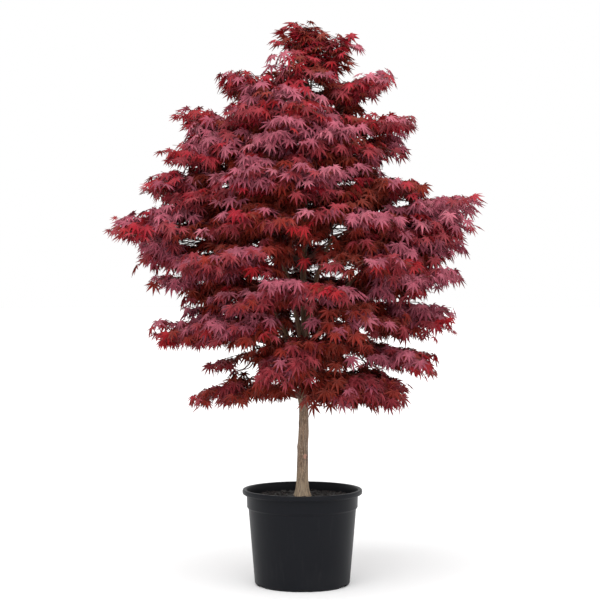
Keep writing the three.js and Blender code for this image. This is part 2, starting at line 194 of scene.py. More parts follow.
def round_edges(shape, chosen, width, segments):
    edges = [edge for edge in shape.edges if chosen(edge)]
    bmesh.ops.bevel(
        shape,
        geom=edges,
        offset=width,
        offset_type="OFFSET",
        segments=segments,
        profile=0.5,
        affect="EDGES",
        material=-1,
    )


def runs_round(edge, bend):
    """Whether an edge runs round the axis and turns by more than an angle in degrees."""
    low, high = sorted(corner.co.z for corner in edge.verts)
    level = high - low < 1e-6
    return level and edge.is_manifold and edge.calc_face_angle() > math.radians(bend)


def build_pot():
    shape = turned(POT_PROFILE, POT_SEGMENTS)
    above = lambda edge: edge.verts[0].co.z > LIP_LEVEL
    round_edges(shape, lambda edge: above(edge) and runs_round(edge, LIP_BEND), LIP_ROUND, 4)
    round_edges(shape, lambda edge: not above(edge) and runs_round(edge, EDGE_BEND), EDGE_ROUND, 3)
    cutter = bmesh.new()
    for step in range(NOTCH_COUNT):
        place = (
            Matrix.Rotation(FRONT + step * 2 * math.pi / NOTCH_COUNT, 4, "Z")
            @ Matrix.Translation((NOTCH_RADIUS, 0, 0))
            @ Matrix.Diagonal((*NOTCH_SIZE, 1))
        )
        bmesh.ops.create_cube(cutter, size=1, matrix=place)
    whole = bpy.data.objects.new("pot_whole", mesh_from(shape, "pot_whole"))
    notches = bpy.data.objects.new("pot_notches", mesh_from(cutter, "pot_notches"))
    for part in (whole, notches):
        bpy.context.scene.collection.objects.link(part)
    cut = whole.modifiers.new("notches", "BOOLEAN")
    cut.operation = "DIFFERENCE"
    cut.solver = "EXACT"
    cut.object = notches
    cut_whole = whole.evaluated_get(bpy.context.evaluated_depsgraph_get())
    mesh = bpy.data.meshes.new_from_object(cut_whole)
    mesh.name = "nursery_pot"
    for part in (whole, notches):
        bpy.data.objects.remove(part)
    mesh.shade_smooth()
    mesh.set_sharp_from_angle(angle=math.radians(SHARP_BEND))
    return mesh


def pot_finish():
    """Satin black plastic with a fine moulded grain, faint upright scuffs and dust at its foot."""
    material, shade, surface = new_finish("black_plastic")
    place = object_place(shade)
    cloudy = shade.noise(place, 9.0, 4.0)
    scuffs = shade.noise(shade.stretched(place, (1.0, 1.0, 0.06)), 130.0, 3.0)
    grain = shade.noise(place, 900.0, 2.0)
    height = shade.node("ShaderNodeSeparateXYZ", {}, {"Vector": place}, "Z")
    foot = (1 - height.between(0.0, 0.07)) * cloudy.between(0.42, 0.7)
    dusty = (scuffs.between(0.58, 0.8) * 0.35 + foot * 0.5) * 0.6
    colour = shade.blend(dusty, (0.0068, 0.0074, 0.0098), (0.026, 0.025, 0.027))
    relief = grain * 0.35 + scuffs * 0.4 + cloudy * 0.8
    surface(
        Base_Color=colour,
        Roughness=0.33 + cloudy * 0.16 + dusty * 0.3,
        Specular_IOR_Level=0.1,
        Normal=shade.bump(relief, 0.0003, 0.5),
    )
    return material


add_piece("nursery_pot", build_pot(), pot_finish(), ["pot"])

# The potting mix: composted bark and peat, filled to the pot's collar, a little lower at the wall
# than round the trunk. Loose chips of bark lie on its crumbly top.
SOIL_LEVEL = 0.260
SOIL_PROFILE = [(0.000, 0.0043), (0.1370, 0.0043), (0.1559, 0.2215), (0.1612, 0.2325), (0.1614, 0.2545)]
SOIL_RINGS = 34
SOIL_SEGMENTS = 150
SOIL_DIP = 0.005
DIP_START = 0.044
DIP_RUN = 0.117
SMOOTH_MIDDLE = 0.02
SOIL_SUNK = 0.0006
# How close together the lumps and crumbs lie, and how high they stand
LUMPS = (60, 0.0026)
CRUMBS = (210, 0.0014)
CHIP_COUNT = 620
CHIP_PLACES = (0.03, 0.124)
CHIP_LENGTH = (0.006, 0.019)
CHIP_WIDTH = (0.35, 0.7)
CHIP_THICKNESS = (0.12, 0.3)
CHIP_UNEVEN = (0.72, 1.1)
CHIP_TILT = 0.25


def soil_height(x, y):
    """The height of the mix's crumbly top at a place."""
    out = math.hypot(x, y)
    dip = SOIL_DIP * min(max(out - DIP_START, 0.0) / DIP_RUN, 1.0)
    lumps = noise.noise(Vector((x * LUMPS[0], y * LUMPS[0], 0.0))) * LUMPS[1]
    crumbs = noise.noise(Vector((x * CRUMBS[0], y * CRUMBS[0], 4.0))) * CRUMBS[1]
    return SOIL_LEVEL - dip + (lumps + crumbs) * min(out / SMOOTH_MIDDLE, 1.0) - SOIL_SUNK


def build_soil():
    wall = SOIL_PROFILE[-1][0]
    rings = [(wall * (1 - ring / SOIL_RINGS), SOIL_LEVEL) for ring in range(1, SOIL_RINGS + 1)]
    shape = turned(SOIL_PROFILE + rings, SOIL_SEGMENTS)
    for corner in shape.verts:
        if corner.co.z > SOIL_PROFILE[-1][1] - 1e-4:
            corner.co.z = soil_height(corner.co.x, corner.co.y)
    return mesh_from(shape, "potting_mix")


def build_chips():
    """Bark chips as slabs with uneven corners, laid flat or tilted on the mix."""
    deal = np.random.default_rng(31)
    shape = bmesh.new()
    for _ in range(CHIP_COUNT):
        out = CHIP_PLACES[0] + CHIP_PLACES[1] * math.sqrt(deal.random())
        turn = deal.random() * 2 * math.pi
        length = deal.uniform(*CHIP_LENGTH)
        width = length * deal.uniform(*CHIP_WIDTH)
        thickness = length * deal.uniform(*CHIP_THICKNESS)
        uneven = deal.uniform(*CHIP_UNEVEN, (8, 3))
        tilt = Matrix.Rotation(deal.normal(0, CHIP_TILT), 3, "X")
        tilt @= Matrix.Rotation(deal.normal(0, CHIP_TILT), 3, "Y")
        spun = Matrix.Rotation(deal.random() * math.pi, 3, "Z") @ tilt
        x, y = out * math.cos(turn), out * math.sin(turn)
        at = Vector((x, y, soil_height(x, y) + thickness * 0.2))
        made = bmesh.ops.create_cube(shape, size=1)["verts"]
        made.sort(key=lambda corner: (corner.co.z, corner.co.y, corner.co.x))
        for corner, part in zip(made, uneven):
            corner.co = spun @ (corner.co * Vector((length, width, thickness)) * Vector(part)) + at
    mesh = mesh_from(shape, "bark_chips")
    mesh.shade_flat()
    return mesh


def mix_finish(name, dark, light, scale):
    """Damp composted bark: dark crumbs with paler fibres, and no shine."""
    material, shade, surface = new_finish(name)
    place = object_place(shade)
    crumbs = shade.noise(place, scale, 5.0, 0.65)
    fibres = shade.noise(shade.stretched(place, (1.0, 0.25, 1.0)), scale * 3, 3.0)
    pale = crumbs.between(0.42, 0.72) * 0.7 + fibres.between(0.6, 0.75) * 0.3
    surface(
        Base_Color=shade.blend(pale, dark, light),
        Roughness=0.9 - pale * 0.15,
        Normal=shade.bump(crumbs + fibres * 0.5, 0.0012, 0.8),
    )
    return material


soil_colours = ((0.0105, 0.0086, 0.0082), (0.0155, 0.0126, 0.0116))
chip_colours = ((0.011, 0.0082, 0.0076), (0.0195, 0.015, 0.0135))
soil_material = mix_finish("damp_potting_mix", *soil_colours, 160.0)
chip_material = mix_finish("bark_chip", *chip_colours, 220.0)
add_piece("potting_mix", build_soil(), soil_material, ["soil"])
add_piece("bark_chips", build_chips(), chip_material)

# The trunk: one stem, bare up to its fork and then running on thinly to the top as the leader.
# It flares into five low roots at the mix. Its young bark is smooth and tan, with fine upright
# streaks, a pruning scar and a few knots. From here on the plant is worked out in millimetres.
TRUNK_FOOT = 260.3
TRUNK_TOP = 1500.0
TRUNK_RISE = TRUNK_TOP - TRUNK_FOOT
TRUNK_SUNK = 8.0
TRUNK_LEAN = 24
TRUNK_SWAY = 4
TRUNK_BUTT = 18.0
TRUNK_TAPER = 0.0165
FLARE = 6.2
FLARE_HEIGHT = 22.0
FORK_HEIGHT = 296.0
FORK_FADE = 45.0
FORK_SWELL = (4.5, 20)
LEADER_RADIUS = (9.8, 2.4)
TRUNK_SIDES = 72
TRUNK_RINGS = 330
RING_CROWDING = 1.4
# How far the trunk bows to the right, the height above the mix and how far that runs
TRUNK_BOW = (2.4, 225, 70)
# Ridges round the foot: their depth, the height at which they fade, their number and their turn
ROOT_RIDGES = [(0.16, 22, 5, 0.9), (0.07, 45, 3, 2.0)]
# Knots, and last the pruning scar, which sinks in: the bearing, height, how far each stands out,
# its half height and its half width
KNOTS = [
    (196, 406, 1.9, 8, 9),
    (322, 381, 2.2, 6, 5),
    (2, 449, 1.5, 22, 12),
    (150, 478, 1.3, 10, 8),
    (80, 352, 1.6, 9, 8),
    (255, 520, 1.4, 12, 9),
    (322, 381, -2.4, 3.2, 2.6),
]
SCAR_PLACE = (0.0145, -0.010, 0.377)
CALLUS_PLACE = (0.009, -0.013, 0.379)


def mix(first, second, share):
    return first + (second - first) * share


def smooth_step(value, low, high):
    share = np.clip((value - low) / (high - low), 0.0, 1.0)
    return share * share * (3 - 2 * share)


def unit(vector):
    return vector / np.linalg.norm(vector, axis=-1, keepdims=True)


def trunk_line(height):
    """The trunk's centre at heights above the mix: a slight sway, and a lean near the top."""
    share = np.asarray(height, dtype=float) / TRUNK_RISE
    x = TRUNK_LEAN * share**2 + TRUNK_SWAY * share * np.sin(9 * share)
    y = TRUNK_SWAY * share * np.sin(7 * share)
    return np.stack([x, y, TRUNK_FOOT + share * TRUNK_RISE], axis=-1)


def trunk_radius(height):
    """The trunk's radius at heights above the mix, before its root ridges."""
    butt = TRUNK_BUTT - TRUNK_TAPER * height + FLARE * np.exp(-height / FLARE_HEIGHT)
    swell = FORK_SWELL[0] * np.exp(-(((height - FORK_HEIGHT) / FORK_SWELL[1]) ** 2))
    above = np.maximum(0, height - FORK_HEIGHT) / (TRUNK_RISE - FORK_HEIGHT)
    passed = smooth_step(height, FORK_HEIGHT, FORK_HEIGHT + FORK_FADE)
    return mix(butt + swell, mix(*LEADER_RADIUS, above), passed)


def noise_over(points, scale, shift):
    """Smooth noise at an array of points, each axis with its own scale."""
    stretched = points * np.array(scale) + shift
    flat = stretched.reshape(-1, 3)
    return np.array([noise.noise(Vector(point)) for point in flat]).reshape(points.shape[:-1])


def limb_shape(line, radius, sides):
    """A tapering limb: a flat grid rolled round a row of points and closed at both ends. Its
    attribute "grain" keeps where each place would be if the limb were straight."""
    rings = len(line)
    shape = bmesh.new()
    bmesh.ops.create_grid(shape, x_segments=sides, y_segments=rings - 1, size=1)
    shape.verts.ensure_lookup_table()
    flat = np.array([corner.co for corner in shape.verts])
    column = np.rint((flat[:, 0] + 1) / 2 * sides).astype(int) % sides
    row = np.rint((flat[:, 1] + 1) / 2 * (rings - 1)).astype(int)
    ahead = unit(np.gradient(line, axis=0))
    side = np.cross(ahead, (0, 1, 0))
    thin = np.linalg.norm(side, axis=1) < 0.2
    side[thin] = np.cross(ahead[thin], (1, 0, 0))
    side = unit(side)
    front = np.cross(ahead, side)
    angle = column / sides * 2 * math.pi
    out = radius[row, column]
    reach = side[row] * (np.cos(angle) * out)[:, None] + front[row] * (np.sin(angle) * out)[:, None]
    places = (line[row] + reach) * 0.001
    run = np.concatenate([[0], np.cumsum(np.linalg.norm(np.diff(line, axis=0), axis=1))])
    grain = np.stack([np.cos(angle) * out, np.sin(angle) * out, run[row]], axis=1) * 0.001
    layer = shape.verts.layers.float_vector.new("grain")
    for corner, place, straight in zip(shape.verts, places, grain):
        corner.co = place
        corner[layer] = straight
    bmesh.ops.remove_doubles(shape, verts=shape.verts, dist=1e-6)
    ends = [edge for edge in shape.edges if edge.is_boundary]
    bmesh.ops.holes_fill(shape, edges=ends, sides=0)
    bmesh.ops.recalc_face_normals(shape, faces=shape.faces)
    return shape


def bark_relief(line, radius, angles, fine):
    """How far fine upright ridges and slow swellings stand out on a limb, in millimetres."""
    height = line[:, 2][:, None] + 0 * angles
    around = np.stack([np.cos(angles) * 16, np.sin(angles) * 16, height], axis=-1)
    streaks = noise_over(around, (0.42, 0.42, 0.018), 3.0)
    swells = noise_over(around, (0.05, 0.05, 0.012), 9.0)
    crackle = noise_over(around, (0.75, 0.75, 0.09), 17.0)
    return fine * (0.3 * streaks + 0.16 * crackle) + 0.045 * radius * swells


def build_trunk():
    share = np.linspace(0, 1, TRUNK_RINGS) ** RING_CROWDING
    height = share * TRUNK_RISE
    height[0] = -TRUNK_SUNK
    line = trunk_line(height)
    bow, bow_height, bow_run = TRUNK_BOW
    line[:, 0] += bow * np.exp(-(((height - bow_height) / bow_run) ** 2))
    radius = trunk_radius(np.maximum(height, 0))[:, None]
    angles = np.linspace(0, 2 * math.pi, TRUNK_SIDES, endpoint=False)[None, :]
    low = np.maximum(height, 0)[:, None]
    roots = 0
    for deep, fade, count, turn in ROOT_RIDGES:
        roots = roots + deep * np.exp(-low / fade) * np.cos(count * angles + turn)
    radius = radius * (1 + roots)
    radius = radius + bark_relief(line, radius, angles + 0 * radius, np.clip(radius / 14, 0.35, 1.2))
    for bearing, level, stand, tall, wide in KNOTS:
        apart = np.angle(np.exp(1j * (angles - trunk_angle(bearing)))) * radius
        rise = line[:, 2][:, None] - level
        radius = radius + stand * np.exp(-((rise / tall) ** 2) - (apart / wide) ** 2)
    return mesh_from(limb_shape(line, radius, TRUNK_SIDES), "trunk_bark")


def trunk_angle(bearing):
    """The angle round a limb's own grid at which an upright limb faces a bearing."""
    return -math.radians(bearing) + math.pi


def bark_finish():
    """Smooth tan bark with grey and darker streaks along the grain, paler at the foot and olive
    brown on the young wood higher up, with a reddish scar where a shoot was cut off."""
    material, shade, surface = new_finish("maple_bark")
    grain = shade.node("ShaderNodeAttribute", {"attribute_name": "grain"}, {}, "Vector")
    place = object_place(shade)
    streaks = shade.noise(shade.stretched(grain, (1.0, 1.0, 0.05)), 420.0, 5.0, 0.6)
    patches = shade.noise(shade.stretched(grain, (1.0, 1.0, 0.35)), 60.0, 3.0)
    specks = shade.noise(shade.stretched(grain, (1.0, 1.0, 0.5)), 330.0, 3.0, 0.6)
    height = shade.node("ShaderNodeSeparateXYZ", {}, {"Vector": place}, "Z")
    young = height.between(0.52, 0.68)
    bands = shade.noise(shade.stretched(grain, (1.0, 1.0, 0.2)), 210.0, 4.0, 0.65)
    tan = shade.blend(streaks.between(0.42, 0.62), (0.07, 0.038, 0.024), (0.38, 0.255, 0.16))
    banded = shade.blend(bands.between(0.5, 0.62) * 0.55, tan, (0.085, 0.045, 0.03))
    grey = shade.blend(patches.between(0.48, 0.64) * 0.45, banded, (0.27, 0.21, 0.16))
    spotted = shade.blend(specks.between(0.54, 0.66) * 0.6, grey, (0.5, 0.38, 0.28))
    foot = 1 - height.between(0.3, 0.36)
    paler = shade.blend(foot * streaks.between(0.3, 0.5) * 0.5, spotted, (0.5, 0.39, 0.26))
    olive = shade.blend(streaks.between(0.4, 0.62), (0.17, 0.08, 0.042), (0.3, 0.17, 0.095))
    aged = shade.blend(young, paler, olive)

    def near(centre, inner, outer):
        """1 close to a place on the bark, fading to 0 round it."""
        values = {"Vector": place, "Location": tuple(-part for part in centre)}
        moved = shade.node("ShaderNodeMapping", {}, values)
        length = {"operation": "LENGTH"}
        apart = shade.node("ShaderNodeVectorMath", length, {"Vector": moved}, "Value")
        return 1 - apart.between(inner, outer)

    callus = shade.blend(near(CALLUS_PLACE, 0.005, 0.0085) * 0.75, aged, (0.5, 0.25, 0.18))
    scarred = shade.blend(near(SCAR_PLACE, 0.002, 0.0045), callus, (0.045, 0.012, 0.01))
    surface(
        Base_Color=scarred,
        Roughness=0.72 - young * 0.15 + streaks * 0.15,
        Normal=shade.bump(streaks + patches * 0.6 + specks * 0.3, 0.0009, 0.75),
    )
    return material


bark = bark_finish()
add_piece("trunk_bark", build_trunk(), bark, ["trunk"])

# The boughs: ten limbs that leave the trunk one above the other at its fork, each with a swollen
# collar at its foot. They rise steeply to an elbow and lean outwards to the pads of foliage that
# they carry, which are laid out first because each bough ends where it enters its pads.
BOUGH_TIP = 5.0
BOUGH_REACH = 0.36
BOUGH_ELBOW = (0.36, 0.72)
BOUGH_SIDES = 20
BOUGH_RINGS = 70
COLLAR = (2.6, 16.0)
PAD_THICK = 60.0
TOP_THICK = 105.0
PAD_LEAST_WIDE = 90.0
PAD_INNER = (10, 0.12)
STEEP = 45
UP = np.array((0.0, 0.0, 1.0))
# Each tier from the lowest: its slope, the height of its pads' outer ends, and each pad's bearing
# and reach from the pot's axis
TIERS = [
    (-10, 556, {"left": (178, 352), "front_left": (238, 240), "front_right": (312, 300),
                "right": (3, 322), "back": (90, 330)}),
    (-8, 662, {"left": (186, 380), "front": (268, 350), "right": (352, 420), "back": (84, 400)}),
    (-4, 768, {"left": (176, 458), "front_left": (226, 420), "front_right": (305, 430),
               "right": (6, 470), "back": (98, 440)}),
    (0, 876, {"left": (184, 455), "front": (262, 440), "right": (352, 490), "back": (80, 460)}),
    (2, 984, {"left": (176, 576), "front_left": (232, 480), "front_right": (306, 480),
              "right": (4, 495), "back": (100, 500)}),
    (4, 1092, {"left": (184, 604), "front_left": (244, 460), "front_right": (296, 460),
               "right": (356, 572), "back": (84, 500)}),
    (6, 1200, {"left": (172, 490), "front": (262, 420), "right": (344, 420), "back": (70, 440)}),
    (8, 1308, {"left": (190, 432), "front": (280, 370), "right": (8, 326), "back": (100, 380)}),
    (10, 1416, {"left": (170, 376), "front": (254, 320), "right": (352, 348), "back": (76, 320)}),
    (14, 1526, {"left": (186, 262), "front": (262, 215), "right": (4, 284), "back": (88, 225)}),
    (60, 1672, {"left": (176, 100), "right": (352, 150)}),
]
# Each bough's height where it leaves the trunk, its radius there and its pads
BOUGHS = {
    "left_low": (566, 7, ["2_left", "3_left"]),
    "right_low": (572, 7, ["2_right", "3_right"]),
    "front_low": (584, 7, ["2_front", "3_front_left"]),
    "back_low": (588, 7, ["2_back", "3_back"]),
    "left_high": (602, 9, ["4_left", "5_left"]),
    "right_high": (610, 9, ["4_right", "5_right"]),
    "front_right_low": (626, 7, ["3_front_right", "4_front"]),
    "back_high": (636, 7, ["4_back", "5_back"]),
    "front_left_high": (664, 7, ["5_front_left", "6_front_left"]),
    "front_right_high": (694, 7, ["5_front_right", "6_front_right"]),
}


def lay_out_pads():
    """Each pad's place, its three axes and its half sizes."""
    pads = []
    for level, (slope, height, places) in enumerate(TIERS):
        rise = math.radians(slope)
        apart = math.pi / max(len(places), 4)
        for order, (place, (bearing, reach)) in enumerate(places.items()):
            turn = math.radians(bearing)
            outward = np.array((math.cos(turn), math.sin(turn), 0.0))
            across = np.array((-outward[1], outward[0], 0.0))
            along = outward * math.cos(rise) + UP * math.sin(rise)
            inner = PAD_INNER[0] + PAD_INNER[1] * reach
            long = (reach - inner) / 2 / math.cos(rise)
            outer = outward * reach + UP * height
            pads.append({
                "name": f"{level + 1}_{place}",
                "seed": level * 10 + order + 1,
                "level": level,
                "slope": slope,
                "steep": slope > STEEP,
                "reach": reach,
                "along": along,
                "across": across,
                "normal": np.cross(along, across),
                "long": long,
                "wide": max((reach + inner) / 2 * math.tan(apart), PAD_LEAST_WIDE),
                "outer": outer,
                "centre": outer - along * long,
                "thick": TOP_THICK if slope > STEEP else PAD_THICK,
            })
    return pads


pads = lay_out_pads()


def curve_points(foot, elbow, end, count):
    """Points on a bough's or stem's bend, from its foot past its elbow to its end."""
    share = np.linspace(0, 1, count)[:, None]
    return (1 - share) ** 2 * foot + 2 * share * (1 - share) * elbow + share**2 * end


def build_boughs():
    joined_boughs = bmesh.new()
    limbs = []
    for level, foot, names in BOUGHS.values():
        carried = [pad for pad in pads if pad["name"] in names]
        tips = [pad["outer"] - pad["along"] * pad["reach"] * (1 - BOUGH_REACH) for pad in carried]
        tip = np.mean(tips, axis=0)
        start = trunk_line(level - TRUNK_FOOT)
        elbow = mix(start, tip, BOUGH_ELBOW[0])
        elbow[2] = mix(start[2], tip[2], BOUGH_ELBOW[1])
        line = curve_points(start, elbow, tip, BOUGH_RINGS)
        share = np.linspace(0, 1, BOUGH_RINGS)
        run = share * np.linalg.norm(np.diff(line, axis=0), axis=1).sum()
        radius = mix(foot, BOUGH_TIP, share) + COLLAR[0] * np.exp(-((run / COLLAR[1]) ** 2))
        limbs.append((line, radius))
        angles = np.linspace(0, 2 * math.pi, BOUGH_SIDES, endpoint=False)[None, :]
        radius = radius[:, None] + 0 * angles
        radius = radius + bark_relief(line, radius, angles + 0 * radius, 0.6 + 0 * radius)
        mesh = bpy.data.meshes.new("bough")
        shape = limb_shape(line, radius, BOUGH_SIDES)
        shape.to_mesh(mesh)
        shape.free()
        joined_boughs.from_mesh(mesh)
        bpy.data.meshes.remove(mesh)
        carried.sort(key=lambda pad: pad["centre"][2])
        aim = unit(line[-1] - line[-2])
        for pad, aside in zip(carried, (-4, 4)):
            pad["foot"] = tip - aim * 2 + UP * aside
    return mesh_from(joined_boughs, "bough_bark"), limbs


bough_mesh, bough_limbs = build_boughs()
add_piece("bough_bark", bough_mesh, bark, [f"bough_{name}" for name in BOUGHS])

# The twigs: slim red-brown shoots. In each pad a few stems lead on from its bough's tip or from the
# trunk, side twigs leave them in opposite pairs, and short shoots leave those in the same way. A
# twig keeps to its pad's own space and clear of every limb, or isn't grown.
STEM_LIMIT = 0.92
STEM_SHIFT = 0.4
STEM_JITTER = 0.1
# Each stem's height in its pad's space, from 1 at the top to -1 at the foot, and how far it
# reaches there. Pads that aren't listed take the plain set, shifted up or down a little.
PLAIN_STEMS = [(0.0, 1.0), (-0.6, 0.87), (0.55, 0.83), (-1.15, 0.7), (1.1, 0.62)]
FRONT_STEMS = [(0.0, 1.0), (-0.5, 0.96), (0.5, 0.92), (-0.92, 0.84), (0.92, 0.76)]
STEMS = {
    "1_left": [(-0.15, 1.1), (0.1, 0.84), (0.3, 0.6)],
    "1_front_left": [(0.95, 0.8), (0.6, 0.6), (0.3, 0.9), (0.0, 0.7)],
    "1_front_right": [(0.35, 0.95), (0.7, 0.9), (0.95, 0.95)],
    "1_right": [(0.25, 1.1), (0.05, 1.0), (0.6, 0.94), (0.95, 0.88)],
    "1_back": [(0.95, 1.0), (0.7, 0.7)],
    "2_left": [(-0.95, 0.7), (-0.9, 0.6), (-0.7, 0.5), (-0.3, 0.36), (0.2, 0.3)],
    "2_front": [(0.1, 1.0), (0.7, 0.9), (-0.5, 0.9), (-0.95, 0.7)],
    "2_right": [(0.2, 1.07), (0.0, 0.97), (-0.5, 0.9), (-0.8, 0.74), (0.6, 0.6)],
    "3_left": [(-0.1, 1.1), (-0.6, 1.08), (-0.95, 1.0), (0.5, 0.84), (-0.95, 0.78)],
    "3_front_right": [(0.35, 0.9), (-0.15, 0.74), (0.85, 0.8)],
    "3_right": [(0.6, 1.09), (0.45, 0.98), (0.95, 0.88)],
    "4_left": [(0.55, 1.07), (0.75, 0.86), (-0.3, 0.76), (-0.3, 0.62), (0.3, 0.7)],
    "4_right": [(0.85, 1.04), (0.6, 0.95), (0.75, 0.78), (-0.2, 0.5)],
    "5_left": [(0.5, 0.9), (0.0, 0.82), (-0.4, 0.68), (0.95, 0.91)],
    "5_right": [(0.55, 0.99), (0.1, 0.86), (-0.4, 0.68), (0.95, 1.04)],
    "6_left": [(-0.55, 0.97), (-0.2, 0.9), (-0.95, 1.0), (0.35, 0.8), (0.6, 0.7), (0.95, 0.56)],
    "6_right": [(0.95, 0.97), (0.5, 0.84), (0.1, 0.84), (-0.5, 0.88), (-0.9, 0.86)],
    "7_left": [(0.1, 0.98), (-0.3, 0.84), (-0.7, 0.8), (0.45, 0.76), (0.9, 0.6), (-0.95, 0.72)],
    "7_right": [(-0.1, 0.9), (-0.5, 0.92), (-0.9, 0.86), (0.3, 0.66), (0.9, 0.5)],
    "8_left": [(-0.5, 1.0), (-0.85, 0.92), (0.0, 0.84), (0.6, 0.84), (0.95, 0.78), (0.95, 0.6)],
    "8_right": [(0.4, 1.04), (-0.1, 0.76), (-0.5, 0.62), (-0.95, 0.5), (0.9, 0.6)],
    "9_left": [
        (-0.45, 1.02), (-0.7, 1.04), (-0.95, 1.06), (-0.1, 0.6), (-0.95, 0.8), (-0.95, 0.6),
        (0.2, 0.3),
    ],
    "9_right": [(-0.75, 1.09), (-0.95, 1.02), (-0.5, 0.74), (0.0, 0.45), (0.9, 0.5), (0.5, 0.55)],
    "10_left": [(-0.15, 1.06), (-0.5, 1.0), (-0.95, 0.98), (-0.1, 0.5), (-0.95, 0.76), (-0.95, 0.56)],
    "10_right": [(-0.1, 1.1), (-0.55, 1.0), (-0.95, 1.02), (0.0, 0.5), (-0.95, 0.82), (-0.95, 0.6)],
    "11_left": [
        (0.55, 0.68), (0.7, 0.62), (0.87, 0.56), (0.46, 0.57), (0.35, 0.48), (0.5, 0.4), (0.3, 0.28),
    ],
    "11_right": [
        (0.8, 0.74), (0.62, 0.7), (0.4, 0.68), (0.15, 0.74), (-0.1, 0.8), (-0.12, 0.72), (0.1, 0.6),
        (0.0, 0.44), (0.46, 0.54), (0.1, 0.5),
    ],
}
STEMS |= {f"{tier}_front": FRONT_STEMS for tier in (7, 8, 9, 10)}
# The lowest and highest places on the trunk that a stem leaves it at
STEM_FEET = (546, TRUNK_TOP - 8)
STEM_CLIMB = 0.2
# How far a stem's tip stays back, how much its twigs rise and fall and the least room they take,
# in a level pad and in a steep one
TIP_BACK = (74.0, 44.0)
BUSHY = (0.0, 0.35)
LEAST_ROOM = (0.16, 0.4)
STEM_RADIUS = (3.4, 1.3)
STEM_STEPS = 14
STEM_TIP_POINTS = 6
PAIR_SPACING = 43.0
PAIRED_SHARE = 0.72
PAIR_PLACES = (0.97, 0.32)
TWIG_LENGTH = (0.7, 1.05)
TWIG_SPREAD = (38.0, 58.0, 12.0)
TWIG_RISE = (0.05, 0.2)
SPRAY_TILT = 0.34
TWIG_RADIUS = (1.5, 0.8)
TWIG_STEPS = 4
SHOOT_SPACING = 34.0
SHOOT_SPREAD = (48.0, 14.0)
SHOOT_RISE = (0.0, 0.36)
SHOOT_LENGTH = (24.0, 66.0)
SHOOT_RADIUS = (0.95, 0.6)
SHOOT_STEPS = 2
SAG = 0.14
OVERLAP = 0.14
TOP_OVERLAP = 0.7
BLOCK = (1.0, 1.0, 1.0)
END_ROUND = (0.2, 0.14)
CROWN_TOP = 1664.0
# Pads that grow flatter towards their ends: where that starts along the pad, from -1 at its inner
# end to 1 at its outer end, and the lowest and highest that it then reaches
FLAT_ENDS = {
    "1_left": (-1, -0.6, 0.7), "1_front_left": (-1, -0.5, 1), "1_front_right": (-1, -0.8, 1),
    "1_right": (-1, -0.8, 1), "1_back": (-1, 0.2, 1),
    "2_left": (-0.1, -1, -0.2), "2_right": (-0.4, -0.7, 0.4), "3_right": (0.6, -0.35, 1),
    "4_right": (0.45, -0.2, 1), "6_left": (0.7, -1, 0.0),
    "7_left": (0.6, -1, 0.3), "7_right": (0.0, -1, 0.05),
    "8_left": (0.6, -1, -0.1), "8_right": (0.2, -0.75, 1),
    "9_left": (-0.2, -1, 0.3), "9_right": (0.1, -1, -0.3),
    "10_left": (-0.3, -1, 0.0), "10_right": (-0.2, -1, 0.15),
}
LIMB_MARGIN = 3.0
TRIES = (1.0, 0.8, 0.6)
LEAF_LENGTH = 35.0


def random_from(seed):
    """A run of numbers from 0 to 1 that is the same every time for the same seed."""
    state = (seed * 2654435761) % 2**32
    while True:
        state = (state * 1664525 + 1013904223) % 2**32
        yield state / 2**32


pad_axes = np.array([[p["along"] / p["long"], p["across"] / p["wide"], p["normal"] / p["thick"]]
                     for p in pads])
pad_centres = np.array([pad["centre"] for pad in pads])


def shares_out(points):
    """How far out each point lies in every pad's space, a block with round corners: 0 at its
    centre and 1 on its skin."""
    away = points[..., None, :] - pad_centres
    local = np.einsum("...pk,pjk->...pj", away, pad_axes)
    return (local**4).sum(axis=-1) ** 0.25


def inside(order, points, room):
    """Whether each point lies in this pad's block, made larger or smaller along each axis. The
    block's outer end is rounded off."""
    local = (points - pad_centres[order]) @ pad_axes[order].T
    room = np.asarray(room)
    end = room[..., 0] - END_ROUND[0] * local[..., 1] ** 2 - END_ROUND[1] * local[..., 2] ** 2
    start, low, high = FLAT_ENDS.get(pads[order]["name"], (1, -1, 1))
    lift = local[..., 2] / room[..., 2]
    flat = (local[..., 0] < start) | ((lift > low) & (lift < high))
    low_enough = points[..., 2] < CROWN_TOP
    return (np.abs(local) < room).all(axis=-1) & (local[..., 0] < end) & flat & low_enough


def belongs(order, points, overlap):
    """Whether each point lies in this pad's block, and no deeper in any other pad's space by
    more than an overlap."""
    shares = shares_out(points)
    own = shares[..., order].copy()
    shares[..., order] = np.inf
    return inside(order, points, BLOCK) & (shares.min(axis=-1) > own - overlap)


def limb_beads():
    """Every thick limb as a row of beads, so that twigs and leaves can be kept off them."""
    height = np.linspace(0, TRUNK_RISE, 160)
    rows = [(trunk_line(height), trunk_radius(height))]
    rows += [(line[::2], radius[::2]) for line, radius in bough_limbs]
    return np.concatenate([line for line, _ in rows]), np.concatenate([size for _, size in rows])


bead_places, bead_sizes = limb_beads()


def clear_of_limbs(points):
    squares = (points**2).sum(axis=-1)[..., None] + (bead_places**2).sum(axis=-1)
    away = squares - 2 * points @ bead_places.T
    return (away > (bead_sizes + LIMB_MARGIN) ** 2).all(axis=-1)


def turned_about(vectors, axis, angles):
    """Vectors turned about a unit axis by angles in degrees."""
    angles = np.radians(np.asarray(angles, dtype=float))[..., None]
    level = np.asarray(vectors @ axis)[..., None] * axis
    return level + (vectors - level) * np.cos(angles) + np.cross(axis, vectors) * np.sin(angles)


def jitter(draw, size):
    return (next(draw) * 2 - 1) * size


def sagging(foot, heading, length, steps):
    """Points on a twig that leaves its foot along a heading and sags towards its end."""
    share = np.linspace(0, 1, steps + 1)[:, None]
    return foot + heading * length * share - UP * length * SAG * share**2


